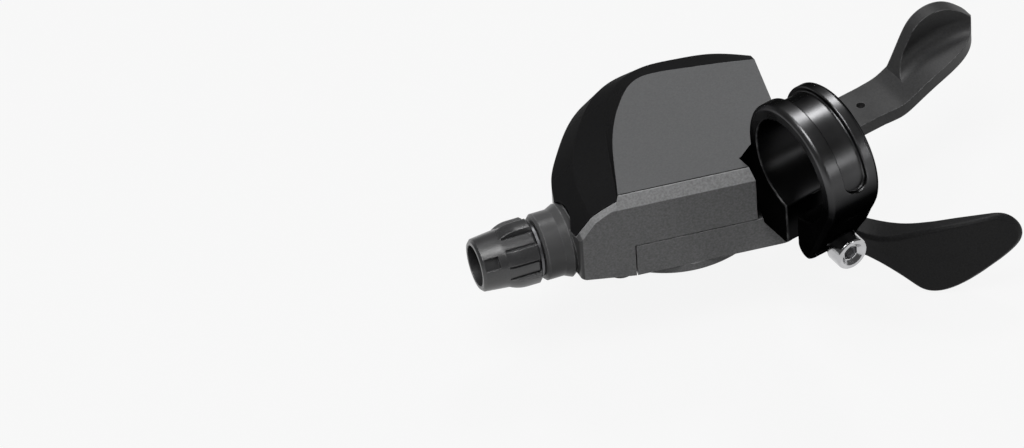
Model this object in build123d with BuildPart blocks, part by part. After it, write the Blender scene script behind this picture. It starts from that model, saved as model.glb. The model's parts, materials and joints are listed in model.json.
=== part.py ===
from build123d import *
import os
from math import cos, radians, sin

os.makedirs("parts", exist_ok=True)

# Beyond the object's own extents, for cuts that pass right through.
far = 90

# Handlebar clamp, in the bar's own axes: X along the bar, Z up.
bar_d = 22.2
bore_fit = 0.05
ring_wall = 3.1
clamp_w = 12.2
rim_break = 0.8
groove_west = -2.2
groove_w = 5.4
groove_depth = 1.2
groove_start = 12
groove_stop = 166
slot_w = 3.6
bracket_front = 17.5
bracket_low = -19.3
shoulder = (14.1, -3.3)
shoulder_turn = -7
bracket_turn = -45
lug_low = -21.2
lug_front = 10.1
lug_break = 0.8
ear_low = -20.3
ear_heel = (-6.8, -18.6)
ear_toe = -5.8
ear_turn = 215
bolt_r = 2.0
bolt_z = -17.4
bolt_seat_y = -7.9
bolt_head_r = 3.55
bolt_head_h = 4.2
bolt_break = 0.4
bolt_hex = 3.0
bolt_hex_depth = 2.2
bolt_reach = 8.0
hole_clear = 0.15
thread_clear = 0.03
blind_end = 1.0

# Housing, in a deck plane centred on the main axle and turned against the bar.
yaw = 20.25
axle_x = -11.84
axle_y = 35.53
panel_z = -8.9
east_p = 22.3
south_q = -18.2
east_south = -10.9
south_bevel = 2.1
seam_drop = 8.6
floor_drop = 20.5
wall_scale = 0.925
cover_wall = 2.0
east_wall = 2.0
cover_lip = 0.8
seam_gap = 0.25
corner_round = 1.2
corner_rise = [(-24, 1.9), (-32, 3.5)]
notch_clear = 0.2
notch_wall = 2.0
notch_drop = 12.6
flange_drop = 12.7
flange_west = -11.8
skirt_round = 4.0
skirt_lap = 2.0
dish_r = 20.4
dish_wall = 4.4
dish_h = 2.5
dish_floor = 1.3
dish_break = 0.7
base_plate = 1.6
base_fit = 0.2
base_draw = 0.01
foot_at = (-14.6, -17.0)
foot_r = 2.6
foot_h = 0.6
east_hole_at = (-8.0, 2.9)
east_hole_r = 2.1
window_south = -5.4
window_north = 7.4
window_clear = 0.45

# Deck outlines from the clamp side round the barrel and nose sides to the lever side.
panel_line = [(-16.1, -24.2), (-11.4, -2.9), (-6.4, 9), (-1.4, 14.2), (2, 14.7), (9, 14.1), (15.5, 13.4),
              (27, 11.4)]
crease_line = [(-18, -24.2), (-9.6, 9), (-4, 16.9), (0.5, 18.9), (7, 19.2), (15, 18.4), (22.3, 15.4),
               (27, 13.2)]
mid_line = [(-20.1, -24.2), (-20.2, -18.2), (-20.6, -9), (-14.8, 10), (-7.4, 18.9), (5, 21.7), (13, 20.8),
            (27, 14.8)]
wall_line = [(-22.8, -24.2), (-23.6, -18.2), (-25.3, -9.2), (-24.9, -5.7), (-23.9, -0.4), (-21, 6.4),
             (-12.8, 18.4), (-5.6, 22.7), (27, 18)]
crease_drop = 1.6
mid_drop = 4.4

# Movement: play between moving faces, then the thickness of each layer from the dish up.
run_fit = 0.05
gap = 0.3
tooth_clear = 0.3
carrier_clear = 0.8
carrier_lift = 0.25
carrier_t = 0.85
drive_t = 1.6
spool_t = 6.2
index_lift = 0.2
index_t = 1.8
coil_h = 2.2
plate_t = 1.2
hub_drop = 0.4
hub_t = 3.4
cable_rise = 3.46
washer_t = 0.6
washer_r = 5.3
nut_h = 3.0
nut_af = 8.0
nut_break = 0.5
axle_r = 2.5
axle_tail = 0.8
axle_head_r = 4.2
axle_head_h = 0.8
top_hub = 1.0
plate_edge = 0.5
spool_r = 11.0
cable_depth = 2.0
cable_slot = 0.9
nipple_r = 1.9
nipple_ring = 7.8
nipple_turn = 200
nipple_run = 6.0
nipple_slot = 1.4
index_teeth = 24
index_tip = 10.8
drive_teeth = 20
pawl_room = 5.2
tooth_h = 1.1
tooth_lean = 0.12
key_share = 0.6
key_fit = 0.03
sleeve_r = 5.2
sleeve_key_r = 4.7
bush_wall = 0.6
coil_in = 3.6
coil_out = 8.6
coil_t = 0.5
coil_turns = 3
coil_steps = 48
post_r = 1.5
post_at = (-14.2, -10.7)
hold_at = (-1.5, 17.0)
hold_hub = 1.1
hold_tail = [(12.2, 10.7), (12.6, 12.3), (6.8, 13.6), (-0.3, 19.2), (-3.4, 15.2)]
hold_tip = [(1.44, 69.9), (tooth_clear, 61.5), (2.4, 55.8)]
release_at = (15.5, 9.3)
stud_at = (10.9, 9.1)
stud_r = 1.2
stud_wall = 0.3
drive_pin_r = 1.0
drive_pin_rise = 3.23
drive_pin_turn = 209.9
drive_hub = 0.9
drive_pawl_line = [(1.4, 206.8), (0.5, 240.3), (tooth_clear, 250), (1.9, 251.2), (3.2, 240.5), (4.87, 214.7)]
leaf_edge = 0.2
leaf_t = 0.5
leaf_h = 1.0
leaf_start = 224
leaf_sweep = 50
wire = 0.7
wire_pitch = 0.82
hold_turns = 1.5
release_turns = 2
ring_open = (-4, 28)

# Thumb lever, in a plane turned to its rest; heights are measured from the top of its hub.
lever_turn = -24.5
lever_hub_r = 12.0
lever_break = 0.6
blade_break = 0.7
arm_top = [(6, 0), (26, -0.4)]
arm_low = [(26, -5.0), (10, -hub_t), (6, -hub_t)]
blade_line = [(39.9, -1.2), (47.7, 0.2), (51.8, 1.8), (63.9, 4.8), (68, 4.9), (71.4, -1.7), (69.4, -4.8),
              (65.4, -8.3), (51.2, -13.9), (49.3, -12.4), (45.3, -9.4), (39.9, -7.2)]
blade_rear = [(6, -9.5), (14, -4.2), (36, -1), (42, -2.9), (50, -3.6), (66, -1.2), (74, 1.6)]
blade_front = [(74, 3.8), (66, 1.1), (58, 0.3), (54, 0.1), (42, 3.1), (37.5, 4.1), (20, 9), (6, 11)]

# Release lever, squared to the bar and measured from the axle; heights from the top of its strip.
strip_lift = 0.4
strip_t = 2.9
strip_south = -11.3
strip_north = -1.5
strip_root = [(20.6, 3.0), (15.0, 1.7), (19.8, -8.5)]
strip_west = (20.0, 21.8)
strip_east = 47.8
strip_hole_at = (43.5, -6.2)
strip_hole_r = 0.9
release_hub_r = 3.2
pad_west = 45.8
pad_slope = 0.12
pad_blend = 3.0
floor_top = [(48.8, 0), (53.8, 1.3), (58.8, 2.7), (64.8, 3.1), (71.8, 3.9), (75.8, 4.6)]
wall_rise = [(52.3, -0.1), (57.8, 7.4), (59.8, 9.5), (69.1, 9.5), (71.8, 7.5), (73.4, 5.6), (73.6, 3.9)]
pad_north = [(49.8, -1.3), (68.8, 0), (72.3, -1.1), (74.1, -2.3)]
pad_inner = [(72.2, -4.9), (68.3, -3.2), (63.3, -2.7), (49.8, -4.5)]
pad_south = [(58.8, -10.9), (65.1, -9.3), (69, -7.7), (73.4, -2.5)]
pad_back = [(68.8, -1.1), (57.8, -0.9)]

# Barrel adjuster: its axis leaves the barrel side of the housing.
barrel_p = -23.0
barrel_q = -11.3
barrel_turn = 5.9
collar_r = 6.9
collar_root = 0.6
collar_step = 0.2
collar_end = 7.5
collar_flare = 0.7
flare_at = 2.0
flare_end = 3.6
collar_break = 0.5
cover_clear = 0.3
screw_r = 3.0
screw_tail = 1.5
knob_start = 8.5
knob_end = 20.6
knob_r = 6.0
knob_taper = 0.5
knob_flat = 6.5
knob_wall = 1.1
knob_break = 0.5
knob_rim = 1.2
knob_ribs = 6
knob_mark = -54
rib_w = 3.0
rib_rise = 1.0
rib_flat = 3.2
rib_length = 7.5
rib_break = 0.5
mark_w = 2.6
mark_depth = 0.6
mark_start = 0.7
mark_run = 3.0
knob_mouth = 17.0
ferrule_wall = 0.45
ferrule_depth = 7.0
inner_cable_r = 1.0
spring_room = 3.0
detent_t = 0.6
detent_gap = 0.15
detent_lip = 0.8
knob_wire = 0.5
knob_coil = 1.0
knob_coils = 1.5

# Small screws.
base_screw_at = [(-19.3, -15.2), (18.0, -15.4), (17.6, 16.0)]
base_screw_r = 1.1
base_screw_reach = 5.2
base_head_r = 2.2
base_head_h = 0.8
base_cross = 2.6
base_cross_slot = 0.6
base_boss_r = 3.2
base_boss_h = 4.2
bracket_screw_x = (-4.0, 1.2)
bracket_screw_r = 1.5
bracket_screw_drop = 6.2
bracket_screw_reach = 7.0
bracket_head_r = 2.3
bracket_head_h = 1.8
bracket_hex = 2.0
bracket_hex_depth = 1.0
bracket_blind = 0.6

# Sizes and levels that follow from those above; levels are drops below the top panel.
bore_r = bar_d / 2 + bore_fit
ring_r = bore_r + ring_wall
ring_mid = bore_r + ring_wall / 2
outline = [(0, panel_line), (crease_drop, crease_line), (mid_drop, mid_line), (seam_drop, wall_line)]
dish_drop = floor_drop + dish_h
dish_cavity_r = dish_r - dish_wall
carrier_r = dish_cavity_r - gap - wire - carrier_clear
carrier_low = dish_drop - dish_floor - carrier_lift
carrier_top = carrier_low - carrier_t
drive_tip = carrier_r - pawl_room
key_r = drive_tip * key_share
drive_low = carrier_top - gap
drive_top = drive_low - drive_t
spool_low = drive_top - gap
spool_top = spool_low - spool_t
cable_drop = spool_low - cable_rise
cable_r = spool_r - cable_depth
index_low = spool_top - index_lift
index_top = index_low - index_t
coil_low = index_top - gap
coil_top = coil_low - coil_h
top_plate = coil_top - gap - plate_t
hub_top = dish_drop + hub_drop
hub_low = hub_top + hub_t
bush_r = axle_r + bush_wall
strip_low = floor_drop - base_plate - strip_lift
strip_top = strip_low - strip_t
knob_end_r = knob_r - knob_taper
knob_mouth_r = knob_end_r - knob_rim
spring_room_r = knob_r - knob_wall
ferrule_r = screw_r - ferrule_wall
post_h = floor_drop - base_plate - top_plate - plate_t
bracket_screw_at = [(x, panel_z - bracket_screw_drop) for x in bracket_screw_x]

deck = Plane(
    origin=(axle_x, axle_y, panel_z),
    x_dir=(cos(radians(yaw)), -sin(radians(yaw)), 0),
    z_dir=(0, 0, 1),
)
cross = Plane(origin=deck.origin, x_dir=deck.y_dir, z_dir=deck.x_dir)
face_south = Plane(origin=deck.origin, x_dir=deck.x_dir, z_dir=-deck.y_dir)
barrel_dir = deck.x_dir * -cos(radians(barrel_turn)) + deck.y_dir * -sin(radians(barrel_turn))
barrel = Plane(
    origin=deck.from_local_coords((barrel_p, barrel_q, -cable_drop)),
    x_dir=(0, 0, 1),
    z_dir=barrel_dir,
)
barrel_side = Plane(origin=barrel.origin, x_dir=barrel.z_dir, z_dir=barrel.y_dir)
barrel_axis = Axis(barrel.origin, barrel.z_dir)
lever_dir = deck.x_dir * cos(radians(lever_turn)) + deck.y_dir * sin(radians(lever_turn))
lever_deck = Plane(origin=(axle_x, axle_y, panel_z - hub_top), x_dir=lever_dir, z_dir=(0, 0, 1))
blade = Plane(origin=lever_deck.origin, x_dir=lever_dir, z_dir=-lever_deck.y_dir)
strip = Plane(origin=(axle_x, axle_y, panel_z - strip_top))
strip_side = Plane(origin=strip.origin, x_dir=(1, 0, 0), z_dir=(0, -1, 0))


def polar(r, turn):
    return r * cos(radians(turn)), r * sin(radians(turn))


def saw(count, tip):
    points = []
    for i in range(count):
        points.append(polar(tip - tooth_h, 360 / count * (i - tooth_lean)))
        points.append(polar(tip, 360 / count * i))
    return points


def scaled(line, scale):
    return [(x * scale, y * scale) for x, y in line]


# Outer form of the whole housing, before it is parted into covers.
with BuildPart() as outer_form:
    for drop, line in outline:
        with BuildSketch(deck.offset(-drop)):
            with BuildLine():
                Spline(*line)
                Polyline(line[-1], (line[-1][0], line[0][1]), line[0])
            make_face()
    loft(ruled=True)
    with BuildSketch(deck.offset(-seam_drop)):
        with BuildLine():
            Spline(*wall_line)
            Polyline(wall_line[-1], (wall_line[-1][0], wall_line[0][1]), wall_line[0])
        make_face()
    extrude(amount=-(floor_drop - seam_drop))
    with BuildSketch(cross.offset(-far)):
        Polygon((south_q, 0), (south_q - south_bevel, -south_bevel), (south_q - south_bevel, -far),
                (far, -far), (far, far), (south_q, far), align=None)
    extrude(amount=far + east_p, mode=Mode.INTERSECT)

# Hollow of the housing: the same outlines drawn in and lowered.
with BuildPart() as inner_form:
    for drop, line in outline:
        near = scaled(line, wall_scale)
        with BuildSketch(deck.offset(-drop - cover_wall)):
            with BuildLine():
                Spline(*near)
                Polyline(near[-1], (near[-1][0], near[0][1]), near[0])
            make_face()
    loft(ruled=True)
    near_wall = scaled(wall_line, wall_scale)
    with BuildSketch(deck.offset(-seam_drop - cover_wall)):
        with BuildLine():
            Spline(*near_wall)
            Polyline(near_wall[-1], (near_wall[-1][0], near_wall[0][1]), near_wall[0])
        make_face()
    extrude(amount=-(floor_drop - seam_drop))
    with BuildSketch(cross.offset(-far)):
        Polygon((south_q, far), (south_q, -far), (far, -far), (far, far), align=None)
    extrude(amount=far + east_p - east_wall, mode=Mode.INTERSECT)

# Room for the clamp bracket, cut from the corner of the housing.
with BuildPart() as notch_form:
    with BuildSketch(Plane.XY.offset(panel_z - notch_drop)):
        with Locations((-clamp_w / 2 - notch_clear, bracket_front)):
            Rectangle(far, far, align=(Align.MIN, Align.MAX))
    extrude(amount=far)

# Walls that line that corner inside the housing.
with BuildPart() as notch_lining:
    add(outer_form.part.moved(Location((0, 0, -cover_wall - seam_gap))))
    with BuildSketch(Plane.XY.offset(panel_z - notch_drop - notch_wall)):
        with Locations((-clamp_w / 2 - notch_clear - notch_wall, bracket_front + notch_wall)):
            Rectangle(far, far, align=(Align.MIN, Align.MAX))
    extrude(amount=far, mode=Mode.INTERSECT)
    add(notch_form.part, mode=Mode.SUBTRACT)

# Lever-side wall, its top edge kept under the cover's lip.
with BuildPart() as east_form:
    add(outer_form.part.moved(Location((0, 0, -cover_lip - seam_gap))))
    with BuildSketch(deck.offset(-floor_drop)):
        with Locations((east_p, east_south)):
            Rectangle(east_wall, far, align=(Align.MAX, Align.MIN))
    extrude(amount=floor_drop, mode=Mode.INTERSECT)

# Room under the cover's lip for that wall.
with BuildPart() as lip_form:
    add(outer_form.part.moved(Location((0, 0, -cover_lip))))
    with BuildSketch(deck.offset(-floor_drop)):
        with Locations((east_p - east_wall - seam_gap, 0)):
            Rectangle(far, far, align=(Align.MIN, Align.CENTER))
    extrude(amount=floor_drop, mode=Mode.INTERSECT)

with BuildPart() as main_housing:
    add(outer_form.part)
    corner = deck.from_local_coords((wall_line[1][0], south_q - south_bevel, (-seam_drop - floor_drop) / 2))
    fillet(main_housing.edges().sort_by_distance(corner)[0], corner_round)
    with BuildSketch(deck.offset(-seam_drop - seam_gap)):
        with Locations((0, south_q)):
            Rectangle(2 * far, far, align=(Align.CENTER, Align.MIN))
    extrude(amount=far, mode=Mode.SUBTRACT)
    add(inner_form.part, mode=Mode.SUBTRACT)
    with BuildSketch(face_south):
        Polygon(*[(x, z - floor_drop) for x, z in reversed(corner_rise)],
                (flange_west - seam_gap, -floor_drop), (flange_west - seam_gap, -far),
                (corner_rise[1][0], -far), align=None)
    extrude(amount=far, both=True, mode=Mode.SUBTRACT)
    add(east_form.part)
    add(notch_lining.part)
    with BuildSketch(deck.offset(-floor_drop + base_plate + gap)):
        with Locations(*base_screw_at):
            Circle(base_boss_r)
    extrude(amount=base_boss_h)
    with BuildSketch(barrel_side):
        with BuildLine():
            Polyline((collar_root, 0), (collar_root, collar_r - collar_step),
                     (flare_at, collar_r + collar_flare), (flare_end, collar_r),
                     (collar_end - collar_break, collar_r), (collar_end, collar_r - collar_break),
                     (collar_end, 0), close=True)
        make_face()
    revolve(axis=barrel_axis)
    add(notch_form.part, mode=Mode.SUBTRACT)
    with BuildSketch(barrel.offset(-screw_tail - blind_end)):
        Circle(screw_r + thread_clear)
    extrude(amount=far, mode=Mode.SUBTRACT)
    with BuildSketch(deck.offset(-flange_drop + seam_gap)):
        with Locations((flange_west - seam_gap, south_q)):
            Rectangle(far, far, align=(Align.MIN, Align.MAX))
        with Locations((east_p - east_wall - seam_gap, east_south)):
            Rectangle(far, far, align=(Align.MIN, Align.MAX))
    extrude(amount=-far, mode=Mode.SUBTRACT)
    with BuildSketch(cross.offset(east_p - 2 * east_wall)):
        with Locations((window_south, -strip_low - window_clear)):
            Rectangle(window_north - window_south, strip_t + 2 * window_clear, align=(Align.MIN, Align.MIN))
        with Locations((east_hole_at[0], east_hole_at[1] - floor_drop)):
            Circle(east_hole_r)
    extrude(amount=far, mode=Mode.SUBTRACT)
    with BuildSketch(deck.offset(-floor_drop)):
        with Locations(*base_screw_at):
            Circle(base_screw_r + thread_clear)
    extrude(amount=base_screw_reach + blind_end, mode=Mode.SUBTRACT)
    with BuildSketch(Plane.XZ.offset(-bracket_front - notch_wall - blind_end)):
        with Locations(*bracket_screw_at):
            Circle(bracket_screw_r + hole_clear)
    extrude(amount=notch_wall + 2 * blind_end, mode=Mode.SUBTRACT)
main_housing.part.label = "main_housing"
export_step(main_housing.part, "parts/main_housing.step")

with BuildPart() as upper_cover:
    add(outer_form.part)
    with BuildSketch(deck.offset(-seam_drop)):
        with Locations((0, south_q + seam_gap)):
            Rectangle(2 * far, far, align=(Align.CENTER, Align.MIN))
    extrude(amount=far, mode=Mode.INTERSECT)
    add(inner_form.part, mode=Mode.SUBTRACT)
    add(lip_form.part, mode=Mode.SUBTRACT)
    add(notch_form.part, mode=Mode.SUBTRACT)
    with BuildSketch(barrel.offset(cover_clear)):
        Circle(collar_r + collar_flare + seam_gap)
    extrude(amount=collar_end, mode=Mode.SUBTRACT)
upper_cover.part.label = "upper_cover"
export_step(upper_cover.part, "parts/upper_cover.step")

with BuildPart() as base_cover:
    near_base = scaled(wall_line, wall_scale - base_draw)
    with BuildSketch(deck.offset(-floor_drop)):
        with BuildLine():
            Spline(*near_base)
            Polyline(near_base[-1], (near_base[-1][0], near_base[0][1]), near_base[0])
        make_face()
    extrude(amount=base_plate)
    with BuildSketch(cross.offset(-far)):
        with Locations((south_q + base_fit, 0)):
            Rectangle(far, far, align=(Align.MIN, Align.MAX))
    extrude(amount=far + east_p - east_wall - base_fit, mode=Mode.INTERSECT)
    with BuildSketch(deck.offset(-floor_drop)):
        with Locations((flange_west, south_q + skirt_lap)):
            Rectangle(east_p - east_wall - base_fit - flange_west, skirt_lap + south_bevel / 2,
                      align=(Align.MIN, Align.MAX))
        with Locations((east_p - east_wall / 2, east_south - seam_gap)):
            Rectangle(skirt_lap + east_wall / 2, east_south - seam_gap - south_q,
                      align=(Align.MAX, Align.MAX))
    extrude(amount=base_plate)
    with BuildSketch(deck.offset(-floor_drop)) as skirt:
        with Locations((flange_west, south_q)):
            Rectangle(east_p - flange_west, south_bevel, align=(Align.MIN, Align.MAX))
        with Locations((east_p, east_south - seam_gap)):
            Rectangle(east_wall, east_south - seam_gap - south_q + south_bevel, align=(Align.MAX, Align.MAX))
        fillet(skirt.vertices().group_by(Axis.Y)[0].sort_by(Axis.X)[-1], skirt_round)
    extrude(amount=floor_drop - flange_drop)
    with BuildSketch(deck.offset(-dish_drop)):
        Circle(dish_r)
    extrude(amount=dish_h)
    chamfer(base_cover.edges().group_by(Axis.Z)[0], dish_break)
    with BuildSketch(deck.offset(-floor_drop)):
        with Locations(foot_at):
            Circle(foot_r)
    extrude(amount=-foot_h)
    with BuildSketch(deck.offset(-dish_drop + dish_floor)):
        Circle(dish_cavity_r)
    extrude(amount=far, mode=Mode.SUBTRACT)
    with BuildSketch(deck.offset(-dish_drop)):
        Circle(sleeve_r + run_fit)
    extrude(amount=dish_floor, mode=Mode.SUBTRACT)
    with BuildSketch(deck.offset(-floor_drop)):
        with Locations(*base_screw_at):
            Circle(base_screw_r + hole_clear)
    extrude(amount=base_plate, mode=Mode.SUBTRACT)
    with BuildSketch(deck.offset(-floor_drop)):
        with Locations(*base_screw_at):
            Circle(base_head_r + hole_clear)
    extrude(amount=base_head_h, mode=Mode.SUBTRACT)
base_cover.part.label = "base_cover"
export_step(base_cover.part, "parts/base_cover.step")

with BuildPart() as base_screws:
    with BuildSketch(deck.offset(-floor_drop)):
        with Locations(*base_screw_at):
            Circle(base_head_r)
    extrude(amount=base_head_h)
    with BuildSketch(deck.offset(-floor_drop)):
        with Locations(*base_screw_at):
            Circle(base_screw_r)
    extrude(amount=base_screw_reach)
    with BuildSketch(deck.offset(-floor_drop)):
        with Locations(*base_screw_at):
            Rectangle(base_cross, base_cross_slot)
            Rectangle(base_cross_slot, base_cross)
    extrude(amount=base_cross_slot, mode=Mode.SUBTRACT)
base_screws.part.label = "base_screws"
export_step(base_screws.part, "parts/base_screws.step")

with BuildPart() as clamp_band:
    with BuildSketch(Plane.XY) as ring_section:
        with Locations((0, ring_r)):
            Rectangle(clamp_w, ring_wall, align=(Align.CENTER, Align.MAX))
        chamfer(ring_section.vertices().group_by(Axis.Y)[-1], rim_break)
    revolve(axis=Axis.X)
    with BuildSketch(Plane.YZ.offset(-clamp_w / 2)):
        Polygon((slot_w / 2, -ring_mid), (slot_w / 2, lug_low + lug_break), (slot_w / 2 + lug_break, lug_low),
                (lug_front, lug_low), (lug_front + lug_break, bracket_low), (bracket_front, bracket_low),
                (bracket_front, panel_z), shoulder, polar(ring_mid, shoulder_turn),
                polar(ring_mid, bracket_turn), align=None)
        Polygon((-slot_w / 2, -ring_mid), polar(ring_mid, ear_turn), polar(ring_r, ear_turn), ear_heel,
                (ear_toe, ear_low), (-slot_w / 2, ear_low), align=None)
    extrude(amount=clamp_w)
    with BuildSketch(Plane.YZ):
        Circle(bore_r)
        Rectangle(slot_w, far, align=(Align.CENTER, Align.MAX))
    extrude(amount=clamp_w, both=True, mode=Mode.SUBTRACT)
    with BuildSketch(Plane.XY.rotated((groove_start, 0, 0))):
        with Locations((groove_west, ring_r - groove_depth)):
            Rectangle(groove_w, far, align=(Align.MIN, Align.MIN))
    revolve(axis=Axis.X, revolution_arc=groove_stop - groove_start, mode=Mode.SUBTRACT)
    with BuildSketch(Plane.XZ.rotated((groove_stop - 180, 0, 0)).offset(ring_r - groove_depth)):
        with Locations((groove_west + groove_w / 2, 0)):
            Circle(groove_w / 2)
    extrude(amount=far, mode=Mode.SUBTRACT)
    with BuildSketch(Plane.XZ.offset(-bolt_seat_y)):
        with Locations((0, bolt_z)):
            Circle(bolt_head_r + hole_clear)
    extrude(amount=far, mode=Mode.SUBTRACT)
    with BuildSketch(Plane.XZ.offset(-bolt_seat_y)):
        with Locations((0, bolt_z)):
            Circle(bolt_r + hole_clear)
    extrude(amount=bolt_seat_y, mode=Mode.SUBTRACT)
    with BuildSketch(Plane.XZ):
        with Locations((0, bolt_z)):
            Circle(bolt_r + thread_clear)
    extrude(amount=-bolt_reach - blind_end, mode=Mode.SUBTRACT)
    with BuildSketch(Plane.XZ.offset(-bracket_front)):
        with Locations(*bracket_screw_at):
            Circle(bracket_screw_r + thread_clear)
    extrude(amount=bracket_screw_reach - notch_wall + bracket_blind, mode=Mode.SUBTRACT)
clamp_band.part.label = "clamp_band"
export_step(clamp_band.part, "parts/clamp_band.step")

with BuildPart() as clamp_bolt:
    with BuildSketch(Plane.XZ.offset(-bolt_seat_y)):
        with Locations((0, bolt_z)):
            Circle(bolt_head_r)
    extrude(amount=bolt_head_h)
    chamfer(clamp_bolt.edges().group_by(Axis.Y)[0], bolt_break)
    with BuildSketch(Plane.XZ.offset(-bolt_seat_y)):
        with Locations((0, bolt_z)):
            Circle(bolt_r)
    extrude(amount=bolt_seat_y - bolt_reach)
    with BuildSketch(Plane.XZ.offset(-bolt_seat_y + bolt_head_h)):
        with Locations((0, bolt_z)):
            RegularPolygon(bolt_hex / 2, 6, major_radius=False)
    extrude(amount=-bolt_hex_depth, mode=Mode.SUBTRACT)
clamp_bolt.part.label = "clamp_bolt"
export_step(clamp_bolt.part, "parts/clamp_bolt.step")

with BuildPart() as bracket_screws:
    with BuildSketch(Plane.XZ.offset(-bracket_front - notch_wall)):
        with Locations(*bracket_screw_at):
            Circle(bracket_head_r)
    extrude(amount=-bracket_head_h)
    with BuildSketch(Plane.XZ.offset(-bracket_front - notch_wall)):
        with Locations(*bracket_screw_at):
            Circle(bracket_screw_r)
    extrude(amount=bracket_screw_reach)
    with BuildSketch(Plane.XZ.offset(-bracket_front - notch_wall - bracket_head_h)):
        with Locations(*bracket_screw_at):
            RegularPolygon(bracket_hex / 2, 6, major_radius=False)
    extrude(amount=bracket_hex_depth, mode=Mode.SUBTRACT)
bracket_screws.part.label = "bracket_screws"
export_step(bracket_screws.part, "parts/bracket_screws.step")

with BuildPart() as main_axle:
    with BuildSketch(deck.offset(-top_plate)):
        Circle(axle_head_r)
    extrude(amount=axle_head_h)
    with BuildSketch(deck.offset(-top_plate)):
        Circle(axle_r)
    extrude(amount=-(hub_low + washer_t + nut_h + axle_tail - top_plate))
main_axle.part.label = "main_axle"
export_step(main_axle.part, "parts/main_axle.step")

with BuildPart() as axle_washer:
    with BuildSketch(deck.offset(-hub_low - run_fit)):
        Circle(washer_r)
        Circle(axle_r + run_fit, mode=Mode.SUBTRACT)
    extrude(amount=-washer_t)
axle_washer.part.label = "axle_washer"
export_step(axle_washer.part, "parts/axle_washer.step")

with BuildPart() as axle_nut:
    with BuildSketch(deck.offset(-hub_low - run_fit - washer_t)):
        RegularPolygon(nut_af / 2, 6, major_radius=False)
        Circle(axle_r + thread_clear, mode=Mode.SUBTRACT)
    extrude(amount=-nut_h)
    chamfer(axle_nut.edges().group_by(Axis.Z)[0].filter_by(GeomType.LINE), nut_break)
axle_nut.part.label = "axle_nut"
export_step(axle_nut.part, "parts/axle_nut.step")

with BuildPart() as top_plate_part:
    with BuildSketch(deck.offset(-top_plate)):
        Circle(axle_head_r + top_hub)
        with Locations(post_at, hold_at, release_at):
            Circle(post_r + plate_edge)
        make_hull()
        Circle(axle_r + run_fit, mode=Mode.SUBTRACT)
    extrude(amount=-plate_t)
top_plate_part.part.label = "top_plate"
export_step(top_plate_part.part, "parts/top_plate.step")

with BuildPart() as frame_post:
    with BuildSketch(deck.offset(-floor_drop + base_plate)):
        with Locations(post_at):
            Circle(post_r)
    extrude(amount=post_h)
frame_post.part.label = "frame_post"
export_step(frame_post.part, "parts/frame_post.step")

with BuildPart() as hold_pin:
    with BuildSketch(deck.offset(-floor_drop + base_plate)):
        with Locations(hold_at):
            Circle(post_r)
    extrude(amount=post_h)
hold_pin.part.label = "hold_pawl_pin"
export_step(hold_pin.part, "parts/hold_pawl_pin.step")

with BuildPart() as release_pin:
    with BuildSketch(deck.offset(-floor_drop + base_plate)):
        with Locations(release_at):
            Circle(post_r)
    extrude(amount=post_h)
release_pin.part.label = "release_pin"
export_step(release_pin.part, "parts/release_pin.step")

with BuildPart() as cable_spool:
    with BuildSketch(deck.offset(-spool_low)):
        Circle(spool_r)
    extrude(amount=spool_t)
    with BuildSketch(deck.offset(-cable_drop - cable_slot)):
        Circle(far)
        Circle(cable_r, mode=Mode.SUBTRACT)
    extrude(amount=2 * cable_slot, mode=Mode.SUBTRACT)
    with BuildSketch(deck.offset(-drive_low)):
        RegularPolygon(key_r, 6)
    extrude(amount=drive_low - index_top)
    with BuildSketch(deck.offset(-drive_low)):
        Circle(axle_r + run_fit)
    extrude(amount=far, mode=Mode.SUBTRACT)
    with BuildSketch(deck.offset(-cable_drop - cable_slot - blind_end)):
        with PolarLocations(nipple_ring, 1, start_angle=nipple_turn):
            Circle(nipple_r)
            Rectangle(nipple_run, nipple_slot, align=(Align.MIN, Align.CENTER))
    extrude(amount=far, mode=Mode.SUBTRACT)
cable_spool.part.label = "cable_spool"
export_step(cable_spool.part, "parts/cable_spool.step")

with BuildPart() as index_ratchet:
    with BuildSketch(deck.offset(-index_low)):
        Polygon(*saw(index_teeth, index_tip), align=None)
        RegularPolygon(key_r + key_fit, 6, mode=Mode.SUBTRACT)
    extrude(amount=index_t)
index_ratchet.part.label = "index_ratchet"
export_step(index_ratchet.part, "parts/index_ratchet.step")

with BuildPart() as drive_ratchet:
    with BuildSketch(deck.offset(-drive_low)):
        Polygon(*saw(drive_teeth, drive_tip), align=None)
        RegularPolygon(key_r + key_fit, 6, mode=Mode.SUBTRACT)
    extrude(amount=drive_t)
drive_ratchet.part.label = "drive_ratchet"
export_step(drive_ratchet.part, "parts/drive_ratchet.step")

with BuildPart() as spool_spring:
    with BuildSketch(deck.offset(-coil_low)):
        steps = [i / coil_steps for i in range(coil_steps + 1)]
        inside = [polar(coil_in + (coil_out - coil_in) * t, 360 * coil_turns * t) for t in steps]
        outside = [polar(coil_in + coil_t + (coil_out - coil_in) * t, 360 * coil_turns * t) for t in steps]
        Polygon(*inside, *reversed(outside), align=None)
    extrude(amount=coil_h)
spool_spring.part.label = "spool_spring"
export_step(spool_spring.part, "parts/spool_spring.step")

with BuildPart() as hold_pawl:
    with BuildSketch(deck.offset(-index_low)):
        with Locations(hold_at):
            Circle(post_r + hold_hub)
        Polygon(*[polar(index_tip + rise, turn) for rise, turn in hold_tip], *hold_tail, align=None)
        with Locations(hold_at):
            Circle(post_r + run_fit, mode=Mode.SUBTRACT)
    extrude(amount=index_t)
hold_pawl.part.label = "hold_pawl"
export_step(hold_pawl.part, "parts/hold_pawl.step")

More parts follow.
